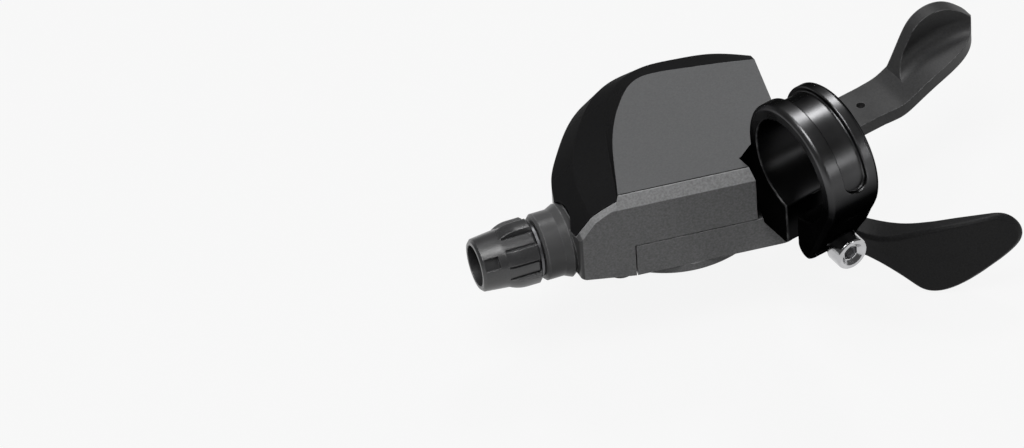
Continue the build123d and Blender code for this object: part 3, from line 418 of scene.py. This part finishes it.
def grained_nylon(name, base, rub_and_highlight, roughness, specular, grain_scale=1.0, depth_scale=1.0, collar=None):
    """Moulded nylon with a fine pebble grain and paler edges, partly worn by rubbing and partly a painted
    highlight. A collar is a colour and a gain in gloss.
    """
    grain = bpy.context.scene.shifter_grain
    material, tree, shader = look(name)
    shader.inputs["Specular IOR Level"].default_value = specular
    pebbles = object_noise(tree, grain.nylon_grain * grain_scale, detail=3)
    painted = shades(tree, pebbles, base, dark=0.82, light=1.22)
    gloss = spread(tree, object_noise(tree, grain.cloud), roughness - 0.05, roughness + 0.06)
    if collar is not None:
        collar_colour, smoother = collar
        past = along_barrel(tree, grain.collar_start)
        painted = mixed(tree, past, painted, collar_colour)
        gain = spread(tree, past, 0.0, smoother, start=0.0, end=1.0)
        gloss = calc(tree, "Math", "SUBTRACT", gloss, gain).outputs["Value"]
    # Edges lightened: wear from rubbing and a painted highlight.
    edge_wear_and_highlight(tree, shader, painted, rub_and_highlight)
    feed(tree, shader.inputs["Roughness"], gloss)
    relief(tree, shader, pebbles, grain.nylon_depth * depth_scale, grain.edge_round)
    return material


def two_tone_paint(name, tones, gloss, top):
    """Satin paint in the panel's colour on top and in the slopes' below it."""
    grain = bpy.context.scene.shifter_grain
    material, tree, shader = look(name)
    shader.inputs["Specular IOR Level"].default_value = gloss.cover_shine
    shader.inputs["Specular Tint"].default_value = (*[gloss.cover_tint] * 3, 1)
    specks = object_noise(tree, grain.paint_speck, detail=4)
    start, end = top - grain.panel_edge, top - grain.panel_edge / 2
    above = spread(tree, upward(tree, "Object"), 0.0, 1.0, start=start, end=end)
    lower = shades(tree, specks, tones.slope, dark=0.9, light=1.15)
    upper = shades(tree, specks, tones.panel, dark=0.93, light=1.07)
    # The cover's edges are lightened a little: wear from rubbing and a painted highlight.
    edge_wear_and_highlight(tree, shader, mixed(tree, above, lower, upper), tones.cover_rub_highlight, amount=0.25)
    metal = spread(tree, above, gloss.slope_metal, 0.0, start=0.0, end=1.0)
    rough = spread(tree, above, gloss.slope, gloss.panel, start=0.0, end=1.0)
    feed(tree, shader.inputs["Metallic"], metal)
    feed(tree, shader.inputs["Roughness"], rough)
    relief(tree, shader, specks, grain.paint_depth, grain.edge_round)
    return material


def gloss_anodising(name, tones, gloss, bore):
    """Black anodised alloy over blasted metal, with paler edges that are partly worn and partly a painted
    highlight, and with painted shade low down and in its bore.
    """
    grain = bpy.context.scene.shifter_grain
    material, tree, shader = look(name)
    shader.inputs["Metallic"].default_value = 1.0
    shader.inputs["Specular Tint"].default_value = (*[gloss.clamp_tint] * 3, 1)
    blast = object_noise(tree, grain.blast_grain, detail=3)
    clouds = object_noise(tree, grain.cloud, detail=3)
    painted = shades(tree, clouds, tones.clamp, dark=0.85, light=1.2)
    # Painted shade: the colour darkens towards the clamp's lower end and inside its bore.
    painted_shade = scaled(tones.clamp, gloss.clamp_shade_share)
    low = spread(tree, upward(tree, "Object"), 1.0, 0.0, start=grain.shade_low, end=grain.shade_high)
    painted = mixed(tree, low, painted, painted_shade)
    painted = mixed(tree, inside_bore(tree, bore), painted, painted_shade)
    # Edges lightened: wear from rubbing and a painted highlight.
    edge_wear_and_highlight(tree, shader, painted, tones.clamp_rub_highlight)
    feed(tree, shader.inputs["Roughness"], spread(tree, clouds, gloss.clamp - 0.03, gloss.clamp + 0.05))
    relief(tree, shader, blast, grain.blast_depth, grain.edge_round)
    return material


def bare_metal(name, base, roughness, stretch=(1, 1, 1)):
    """Bare or plated metal with fine lines along the way it was worked."""
    grain = bpy.context.scene.shifter_grain
    material, tree, shader = look(name)
    shader.inputs["Metallic"].default_value = 1.0
    lines = object_noise(tree, grain.blast_grain, detail=3, stretch=stretch)
    clouds = object_noise(tree, grain.metal_cloud, detail=3)
    feed(tree, shader.inputs["Base Color"], shades(tree, clouds, base, dark=0.86, light=1.08))
    feed(tree, shader.inputs["Roughness"], spread(tree, clouds, roughness - 0.06, roughness + 0.1))
    relief(tree, shader, lines, grain.line_depth, grain.metal_round)
    return material


def dress(material, *names):
    """Give CAD nodes a material."""
    for name in names:
        slots = nodes[name].data.materials
        slots.clear()
        slots.append(material)


def pick(*pieces):
    """Leave edit mode and select these pieces alone, with the first of them active."""
    if bpy.context.object and bpy.context.object.mode != "OBJECT":
        bpy.ops.object.mode_set(mode="OBJECT")
    bpy.ops.object.select_all(action="DESELECT")
    for each in pieces:
        each.select_set(True)
    if pieces:
        bpy.context.view_layer.objects.active = pieces[0]


def apply_all(piece):
    """Apply a piece's modifiers in order and its place to its mesh."""
    pick(piece)
    for modifier in list(piece.modifiers):
        bpy.ops.object.modifier_apply(modifier=modifier.name)
    bpy.ops.object.transform_apply(location=True, rotation=True, scale=True)


def stand_in(piece, name, node, body, material):
    """Name a finished piece, give it its finish and let it ride on its body in a CAD node's place."""
    piece.name = name
    piece.data.name = name
    piece.data.materials.clear()
    piece.data.materials.append(material)
    pick(piece)
    bpy.ops.object.shade_smooth_by_angle(angle=SMOOTH_ANGLE)
    even = piece.modifiers.new("even", "WEIGHTED_NORMAL")
    even.keep_sharp = True
    bpy.ops.object.modifier_apply(modifier=even.name)
    dress(material, node)
    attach(piece, body)
    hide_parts(node)


def round_stock(radius, low, high, sides=ROUND_SIDES):
    """A rod or prism along Z between two heights."""
    pick()
    bpy.ops.mesh.primitive_cylinder_add(
        vertices=sides, radius=radius, depth=high - low, location=(0, 0, (low + high) / 2)
    )
    return bpy.context.object


def taper(low_radius, high_radius, low, high):
    """A cone frustum along Z between two heights."""
    pick()
    bpy.ops.mesh.primitive_cone_add(
        vertices=ROUND_SIDES, radius1=low_radius, radius2=high_radius, depth=high - low,
        location=(0, 0, (low + high) / 2)
    )
    return bpy.context.object


def block(size, middle, turn=Matrix.Identity(3)):
    """A block of a size, turned and set in place."""
    pick()
    bpy.ops.mesh.primitive_cube_add(size=1)
    made = bpy.context.object
    made.matrix_world = Matrix.Translation(middle) @ turn.to_4x4() @ Matrix.Diagonal((*size, 1))
    apply_all(made)
    return made


def carve(piece, tool, operation="DIFFERENCE"):
    """Cut a piece with a tool, then delete the tool."""
    cut = piece.modifiers.new("cut", "BOOLEAN")
    cut.operation = operation
    cut.solver = "EXACT"
    cut.object = tool
    apply_all(piece)
    pick(tool)
    bpy.ops.object.delete()


def joined(*parts):
    """One piece from several."""
    pick(*parts)
    bpy.ops.object.join()
    return parts[0]


def tidy_faces(piece, closeness, flatness):
    """Merge vertices that are closer than a distance and make flat faces whole, within some degrees."""
    pick(piece)
    bpy.ops.object.mode_set(mode="EDIT")
    bpy.ops.mesh.select_all(action="SELECT")
    bpy.ops.mesh.remove_doubles(threshold=closeness)
    bpy.ops.mesh.dissolve_limited(angle_limit=radians(flatness))
    bpy.ops.object.mode_set(mode="OBJECT")


def from_node(name, flatness=0.5):
    """A merged copy of a CAD node's mesh with its flat faces whole, to work on."""
    piece = bpy.data.objects.new(name + "_copy", nodes[name].data.copy())
    bpy.context.collection.objects.link(piece)
    pick(piece)
    bpy.ops.mesh.customdata_custom_splitnormals_clear()
    tidy_faces(piece, WELD, flatness)
    return piece


def soften(piece, width):
    """Round a piece's sharp edges."""
    rounding = piece.modifiers.new("rounding", "BEVEL")
    rounding.width = width
    rounding.segments = 3
    rounding.limit_method = "ANGLE"
    rounding.angle_limit = EDGE_ANGLE
    rounding.use_clamp_overlap = False
    apply_all(piece)


def on_barrel(piece):
    """Set a piece that was made along Z on the adjuster's axis, with its X axis upright."""
    turning = joint("knob_turn")
    axis, upright = Vector(turning["axis"]), Vector((0, 0, 1))
    turn = Matrix((upright, axis.cross(upright), axis)).transposed()
    piece.matrix_world = Matrix.Translation(turning["pos_m"]) @ turn.to_4x4()
    apply_all(piece)


def threaded_rod(radius, depth, pitch, low, high):
    """A closed rod along Z with a screw thread, wound with spare turns and cut to two heights."""
    spare = 2
    start = low - spare * pitch
    crest = 0.06 * pitch
    chain = [Vector((radius - depth, 0, start)), Vector((radius, 0, start + pitch / 2 - crest)),
             Vector((radius, 0, start + pitch / 2 + crest)), Vector((radius - depth, 0, start + pitch))]
    pick()
    bpy.ops.mesh.primitive_plane_add(size=pitch)
    rod = bpy.context.object
    bpy.ops.object.mode_set(mode="EDIT")
    bpy.ops.mesh.merge(type="CENTER")
    bpy.ops.transform.translate(value=chain[0])
    for here, there in zip(chain, chain[1:]):
        bpy.ops.mesh.extrude_vertices_move(TRANSFORM_OT_translate={"value": there - here})
    bpy.ops.object.mode_set(mode="OBJECT")
    wind = rod.modifiers.new("wind", "SCREW")
    wind.axis = "Z"
    wind.screw_offset = pitch
    wind.iterations = int((high - low) / pitch) + 2 * spare
    wind.steps = wind.render_steps = THREAD_STEPS
    apply_all(rod)
    bpy.ops.object.mode_set(mode="EDIT")
    bpy.ops.mesh.select_all(action="SELECT")
    bpy.ops.mesh.remove_doubles(threshold=0.005 * pitch)
    bpy.ops.mesh.fill_holes(sides=0)
    bpy.ops.mesh.select_all(action="SELECT")
    bpy.ops.mesh.normals_make_consistent(inside=False)
    bpy.ops.object.mode_set(mode="OBJECT")
    carve(rod, round_stock(2 * radius, low, high), "INTERSECT")
    return rod


class SHIFTER_OT_housing(bpy.types.Operator):
    """Dress the housing, its covers and the small screws that hold them"""

    bl_idname = "shifter.housing"
    bl_label = "Housing and covers"

    def execute(self, context):
        tones, gloss = context.scene.shifter_colours, context.scene.shifter_gloss
        nylon = grained_nylon("housing_nylon", tones.housing, tones.housing_rub_highlight, gloss.housing,
                              gloss.housing_shine, collar=(tones.collar, gloss.collar))
        dress(nylon, "main_housing", "base_cover")
        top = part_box("upper_cover")[1].z
        dress(two_tone_paint("cover_paint", tones, gloss, top), "upper_cover")
        screw_steel = bare_metal("screw_steel", tones.steel, gloss.screws, stretch=(1, 1, 4))
        dress(screw_steel, "base_screws", "bracket_screws")
        return {"FINISHED"}


class SHIFTER_OT_clamp(bpy.types.Operator):
    """Model the clamp band with its narrowed ear and rounded edges"""

    bl_idname = "shifter.clamp"
    bl_label = "Clamp band"

    def execute(self, context):
        scene = context.scene
        tones, gloss, forms = scene.shifter_colours, scene.shifter_gloss, scene.shifter_forms
        band = from_node("clamp_band")
        carve(band, self.waist(forms))
        carve(band, self.below_toe(forms))
        carve(band, joined(self.beside_ear(forms, -1), self.beside_ear(forms, 1)))
        tidy_faces(band, forms.clamp_weld, flatness=1)
        soften(band, forms.clamp_edge)
        anodising = gloss_anodising("clamp_anodising", tones, gloss, forms.bore_radius)
        stand_in(band, "forged_clamp", "clamp_band", "housing", anodising)
        return {"FINISHED"}

    def waist(self, forms):
        """The round bar that hollows the ear's lever side."""
        lever_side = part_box("clamp_band")[1].x
        bolt_low, bolt_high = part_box("clamp_bolt")
        bar = round_stock(forms.waist_radius, 0, -bolt_low.y)
        bar.rotation_euler = (pi / 2, 0, 0)
        bar.location = (lever_side - forms.waist_depth + forms.waist_radius, bolt_low.y / 2,
                        (bolt_low.z + bolt_high.z) / 2)
        return bar

    def beside_ear(self, forms, side):
        """A bar that breaks one edge of the ear's outer face and runs out past both of its ends."""
        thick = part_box("clamp_band")[1].x
        top, heel = Vector((side * thick, *forms.ear_top)), Vector((side * thick, *forms.ear_heel))
        along = (heel - top).normalized()
        outward = (Vector((side, 0, 0)) + Vector((0, along.z, -along.y))).normalized()
        middle = (top + heel) / 2 + outward * (thick / 2 - forms.ear_break)
        turn = Matrix((outward, along.cross(outward), along)).transposed()
        return block((thick, thick, (heel - top).length + 3 * thick), middle, turn)

    def below_toe(self, forms):
        """A block with the round of the ear's lower end taken out of it."""
        low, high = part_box("clamp_band")
        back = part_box("clamp_bolt")[0].y
        reach = high.x - low.x
        ear_low = min(v.co.z for v in nodes["clamp_band"].data.vertices if v.co.y < -forms.ear_start)
        middle = ear_low + forms.toe_radius
        below = block((2 * reach, -back, reach), (0, back / 2, middle - reach / 2))
        toe = round_stock(forms.toe_radius, -reach, reach)
        toe.rotation_euler = (0, pi / 2, 0)
        toe.location = (0, -forms.toe_middle, middle)
        carve(below, toe)
        return below


class SHIFTER_OT_bolt(bpy.types.Operator):
    """Model the threaded clamp bolt with its rounded head and hexagon socket"""

    bl_idname = "shifter.bolt"
    bl_label = "Clamp bolt"

    def execute(self, context):
        sizes = context.scene.shifter_threads
        low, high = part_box("clamp_bolt")
        top, seat, end = -low.y, -low.y - sizes.head_height, -high.y
        head = round_stock((high.x - low.x) / 2, seat, top)
        rounding = head.modifiers.new("rim", "BEVEL")
        rounding.width = sizes.rim
        rounding.segments = 5
        apply_all(head)
        mouth = sizes.socket / cos(pi / 6)
        carve(head, round_stock(mouth, top - sizes.socket_depth, top + sizes.rim, sides=6))
        carve(head, taper(mouth, mouth + 2 * sizes.lead_in, top - sizes.lead_in, top + sizes.lead_in))
        rod = threaded_rod(sizes.bolt_radius, sizes.bolt_depth, sizes.pitch, end, seat + sizes.rim)
        bolt = joined(head, rod)
        bolt.rotation_euler = (pi / 2, 0, 0)
        bolt.location = ((low.x + high.x) / 2, 0, (low.z + high.z) / 2)
        apply_all(bolt)
        tones, gloss = context.scene.shifter_colours, context.scene.shifter_gloss
        plating = bare_metal("bolt_plating", tones.plating, gloss.plating)
        stand_in(bolt, "threaded_bolt", "clamp_bolt", "housing", plating)
        return {"FINISHED"}


class SHIFTER_OT_levers(bpy.types.Operator):
    """Model the thumb lever with rounded edges and dress the release lever"""

    bl_idname = "shifter.levers"
    bl_label = "Levers"

    def execute(self, context):
        tones, gloss = context.scene.shifter_colours, context.scene.shifter_gloss
        thumb = from_node("thumb_lever", flatness=2)
        soften(thumb, context.scene.shifter_forms.lever_edge)
        black = grained_nylon("thumb_nylon", tones.thumb, tones.thumb_rub_highlight, gloss.thumb, gloss.thumb_shine,
                              grain_scale=0.8, depth_scale=0.5)
        stand_in(thumb, "moulded_thumb_lever", "thumb_lever", "thumb", black)
        grey = grained_nylon("release_nylon", tones.release, tones.release_rub_highlight, gloss.release,
                             gloss.release_shine, grain_scale=0.9, depth_scale=0.5)
        dress(grey, "release_lever")
        return {"FINISHED"}


class SHIFTER_OT_adjuster(bpy.types.Operator):
    """Model the adjuster's grooved knob and threaded screw and dress its detent ring"""

    bl_idname = "shifter.adjuster"
    bl_label = "Barrel adjuster"

    def execute(self, context):
        tones, gloss = context.scene.shifter_colours, context.scene.shifter_gloss
        black = grained_nylon("knob_nylon", tones.knob, tones.knob_rub_highlight, gloss.knob, gloss.knob_shine,
                              grain_scale=0.8, depth_scale=0.4)
        knob = self.grooved_knob(context.scene.shifter_forms)
        stand_in(knob, "moulded_knob", "adjuster_knob", "adjuster", black)
        dress(bare_metal("ring_steel", tones.ring, gloss.ring), "detent_ring")
        steel = bare_metal("adjuster_steel", tones.steel, gloss.adjuster)
        screw = self.hollow_screw(context.scene.shifter_threads)
        stand_in(screw, "threaded_screw", "adjuster_screw", "adjuster", steel)
        return {"FINISHED"}

    def grooved_knob(self, forms):
        """The knob with grooves cut along both sides of its grip bars."""
        size = (2 * forms.rib_width, forms.rib_groove, forms.groove_high - forms.groove_low)
        out, along = forms.groove_floor + forms.rib_width, (forms.groove_low + forms.groove_high) / 2
        aside = (forms.rib_width + forms.rib_groove) / 2
        bars = []
        for index in range(forms.rib_count):
            turn = Matrix.Rotation(forms.rib_turn + index * 2 * pi / forms.rib_count, 3, "Z")
            for side in (-aside, aside):
                bars.append(block(size, turn @ Vector((out, side, along)), turn))
        tool = joined(*bars)
        on_barrel(tool)
        knob = from_node("adjuster_knob")
        carve(knob, tool)
        return knob

    def hollow_screw(self, sizes):
        """The hollow threaded screw inside the knob."""
        low, high = -sizes.screw_start, sizes.screw_end
        screw = threaded_rod(sizes.screw_radius, sizes.screw_depth, sizes.pitch, low, high)
        carve(screw, round_stock(sizes.cable_radius, low - sizes.pitch, high + sizes.pitch))
        carve(screw, round_stock(sizes.ferrule_radius, high - sizes.ferrule_depth, high + sizes.pitch))
        on_barrel(screw)
        return screw


class SHIFTER_OT_movement(bpy.types.Operator):
    """Dress the ratchet movement inside the housing"""

    bl_idname = "shifter.movement"
    bl_label = "Ratchet movement"

    def execute(self, context):
        tones, gloss = context.scene.shifter_colours, context.scene.shifter_gloss
        ground = bare_metal("ground_steel", tones.steel, gloss.steel, stretch=(1, 1, 6))
        drawn = bare_metal("drawn_wire", tones.wire, gloss.wire, stretch=(1, 1, 3))
        turned = bare_metal("turned_brass", tones.brass, gloss.brass, stretch=(1, 1, 5))
        acetal = grained_nylon("spool_acetal", tones.spool, tones.spool_rub_highlight, gloss.spool, gloss.spool_shine,
                               grain_scale=0.7, depth_scale=0.3)
        dress(ground, "main_axle", "axle_washer", "axle_nut", "top_plate", "frame_post", "hold_pawl_pin",
              "release_pin", "index_ratchet", "drive_ratchet", "hold_pawl", "drive_plate", "drive_pawl_pin",
              "drive_pawl")
        dress(drawn, "spool_spring", "hold_pawl_spring", "release_spring", "thumb_spring",
              "drive_pawl_spring", "adjuster_spring")
        dress(turned, "thumb_bush")
        dress(acetal, "cable_spool")
        return {"FINISHED"}


def camera_axes(stage):
    """Right, up and back directions of the camera at the stage's angles."""
    back = Vector((sin(stage.azimuth) * cos(stage.elevation), -cos(stage.azimuth) * cos(stage.elevation),
                   sin(stage.elevation)))
    flat = Vector((cos(stage.azimuth), sin(stage.azimuth), 0))
    lift = back.cross(flat)
    right = flat * cos(stage.roll) + lift * sin(stage.roll)
    return right, back.cross(right), back


def soft_lamp(name, toward, distance, width, watts):
    """Add a square lamp that shines on the part from a direction."""
    toward = Vector(toward).normalized()
    middle = (cad_box[0] + cad_box[1]) / 2
    bpy.ops.object.light_add(type="AREA", location=middle + toward * distance)
    lamp = bpy.context.object
    lamp.name = name
    lamp.rotation_mode = "QUATERNION"
    lamp.rotation_quaternion = toward.to_track_quat("Z", "Y")
    lamp.data.size = width
    lamp.data.energy = watts


def white_to_eye(tree):
    """Factor that is 1 for the camera, for gloss and for glass, and 0 for the light on the part."""
    rays = tree.nodes.new("ShaderNodeLightPath").outputs
    seen = calc(tree, "Math", "MAXIMUM", rays["Is Camera Ray"], rays["Is Glossy Ray"])
    seen = calc(tree, "Math", "MAXIMUM", seen.outputs["Value"], rays["Is Transmission Ray"])
    return seen.outputs["Value"]


class SHIFTER_OT_stage(bpy.types.Operator):
    """Set the floor, the lamps, the world and the camera"""

    bl_idname = "shifter.stage"
    bl_label = "Studio"

    def execute(self, context):
        stage = context.scene.shifter_stage
        self.lay_floor(stage)
        self.light(context.scene, stage)
        self.aim_camera(context.scene, stage)
        context.scene.view_settings.view_transform = "Standard"
        return {"FINISHED"}

    def lay_floor(self, stage):
        """A floor that looks almost white, keeps the part's shadow and throws little light back."""
        pick()
        bpy.ops.mesh.primitive_circle_add(
            vertices=ROUND_SIDES, radius=stage.floor_radius, fill_type="NGON", location=(0, 0, cad_box[0].z)
        )
        floor = bpy.context.object
        floor.name = "floor"
        material, tree, shader = look("floor_paper")
        shader.inputs["Base Color"].default_value = (*stage.floor, 1)
        shader.inputs["Roughness"].default_value = 0.9
        shader.inputs["Specular IOR Level"].default_value = 0.1
        white = calc(tree, "Math", "MULTIPLY", white_to_eye(tree), stage.floor_white)
        glow = put(tree, "Emission", Strength=stage.floor_glow)
        mix = put(tree, "MixShader", Fac=white.outputs["Value"])
        tree.links.new(shader.outputs["BSDF"], mix.inputs[1])
        tree.links.new(glow.outputs["Emission"], mix.inputs[2])
        tree.links.new(mix.outputs["Shader"], tree.nodes["Material Output"].inputs["Surface"])
        floor.data.materials.append(material)

    def light(self, scene, stage):
        """Three lamps, and a sky that is brightest in a band on the horizon."""
        soft_lamp("key_lamp", stage.key_way, stage.key_distance, stage.key_width, stage.key_light)
        soft_lamp("top_lamp", stage.top_way, stage.top_distance, stage.top_width, stage.top_light)
        soft_lamp("front_lamp", stage.front_way, stage.front_distance, stage.front_width, stage.front_light)
        world = bpy.data.worlds.new("studio")
        world.use_nodes = True
        tree = world.node_tree
        sky = tree.nodes["Background"].inputs
        sky["Color"].default_value = (1, 1, 1, 1)
        feed(tree, sky["Strength"],
             spread(tree, upward(tree, "Generated"), 1.0, stage.ambient, start=0.0, end=stage.horizon))
        scene.world = world

    def aim_camera(self, scene, stage):
        """A camera at the photograph's angles, set so that the bore shows where it does there."""
        right, up, back = camera_axes(stage)
        bpy.ops.object.camera_add()
        camera = bpy.context.object
        camera.name = "camera"
        camera.data.lens = stage.lens
        width, height = stage.picture
        middle = right * (width / 2 - stage.bore_pixel[0]) + up * (stage.bore_pixel[1] - height / 2)
        view_half = atan(camera.data.sensor_width / 2 / stage.lens)
        distance = width * stage.pixel / 2 / tan(view_half)
        turn = Matrix((right, up, back)).transposed()
        camera.matrix_world = Matrix.Translation(middle * stage.pixel + back * distance) @ turn.to_4x4()
        camera.data.clip_start = 0.1
        camera.data.clip_end = 100
        scene.camera = camera


OPERATORS = (SHIFTER_OT_housing, SHIFTER_OT_clamp, SHIFTER_OT_bolt, SHIFTER_OT_levers, SHIFTER_OT_adjuster,
             SHIFTER_OT_movement, SHIFTER_OT_stage)
GROUPS = {"shifter_colours": ShifterColours, "shifter_gloss": ShifterGloss, "shifter_grain": ShifterGrain,
          "shifter_threads": ShifterThreads, "shifter_forms": ShifterForms, "shifter_stage": ShifterStage}


class SHIFTER_PT_sidebar(bpy.types.Panel):
    """Lists the pieces of the shifter and their settings"""

    bl_idname = "SHIFTER_PT_sidebar"
    bl_label = "Gear shifter"
    bl_space_type = "VIEW_3D"
    bl_region_type = "UI"
    bl_category = "Shifter"

    def draw(self, context):
        for operator in OPERATORS:
            self.layout.operator(operator.bl_idname)
        for name, group in GROUPS.items():
            box = self.layout.box()
            for setting in group.__annotations__:
                box.prop(getattr(context.scene, name), setting)


CLASSES = (*GROUPS.values(), *OPERATORS, SHIFTER_PT_sidebar)


def register():
    for each in CLASSES:
        bpy.utils.register_class(each)
    for name, group in GROUPS.items():
        setattr(bpy.types.Scene, name, bpy.props.PointerProperty(type=group))


def unregister():
    for name in GROUPS:
        delattr(bpy.types.Scene, name)
    for each in reversed(CLASSES):
        bpy.utils.unregister_class(each)


def main():
    register()
    bpy.ops.shifter.housing()
    bpy.ops.shifter.clamp()
    bpy.ops.shifter.bolt()
    bpy.ops.shifter.levers()
    bpy.ops.shifter.adjuster()
    bpy.ops.shifter.movement()
    bpy.ops.shifter.stage()


if __name__ == "__main__":
    main()
